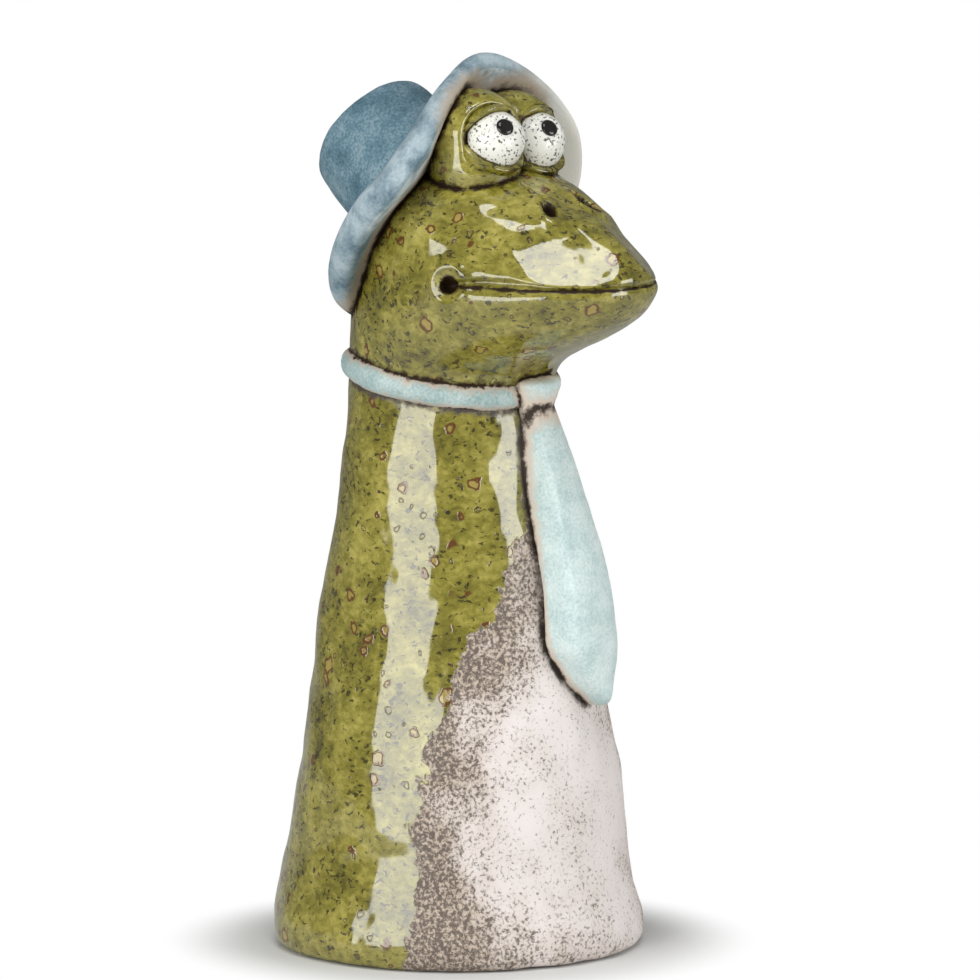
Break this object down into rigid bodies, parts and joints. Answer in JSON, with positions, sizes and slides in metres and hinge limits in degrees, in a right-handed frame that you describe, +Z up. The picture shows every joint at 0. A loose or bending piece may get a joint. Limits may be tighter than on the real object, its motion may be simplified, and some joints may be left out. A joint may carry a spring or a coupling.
{
  "type": "frog figurine",
  "caption": "Hollow hand-built ceramic frog ornament with a tall conical body, wide mouth, raised eyes, tilted brimmed hat and a neck tie.",
  "frame": {"origin": "middle of the round underside of the base slab", "axes": "+Z up, the frog faces -Y, its right side is -X"},
  "size_m": [0.122, 0.1403, 0.2976],
  "materials": {
    "green_glaze": "glossy olive glaze, mottled, over grogged clay",
    "bare_clay": "matte grogged clay with dark specks",
    "blue_slip": "matte blue slip",
    "aqua_slip": "matte pale aqua slip",
    "white_glaze": "white glaze with dark specks",
    "black_glaze": "glossy black glaze"
  },
  "bodies": {
    "root": {"base_slab": "bare_clay", "body_wall": "green_glaze", "lower_jaw": "green_glaze", "upper_head": "green_glaze", "right_eye_mound": "green_glaze", "left_eye_mound": "green_glaze", "right_eyeball": "white_glaze", "left_eyeball": "white_glaze", "right_pupil": "black_glaze", "left_pupil": "black_glaze", "right_upper_lid": "green_glaze", "left_upper_lid": "green_glaze", "right_lower_lid": "green_glaze", "left_lower_lid": "green_glaze", "hat_brim": "blue_slip", "hat_crown": "blue_slip", "hat_top": "blue_slip", "neck_band": "aqua_slip", "tie_knot": "aqua_slip", "tie_blade": "aqua_slip"}
  },
  "joints": []
}
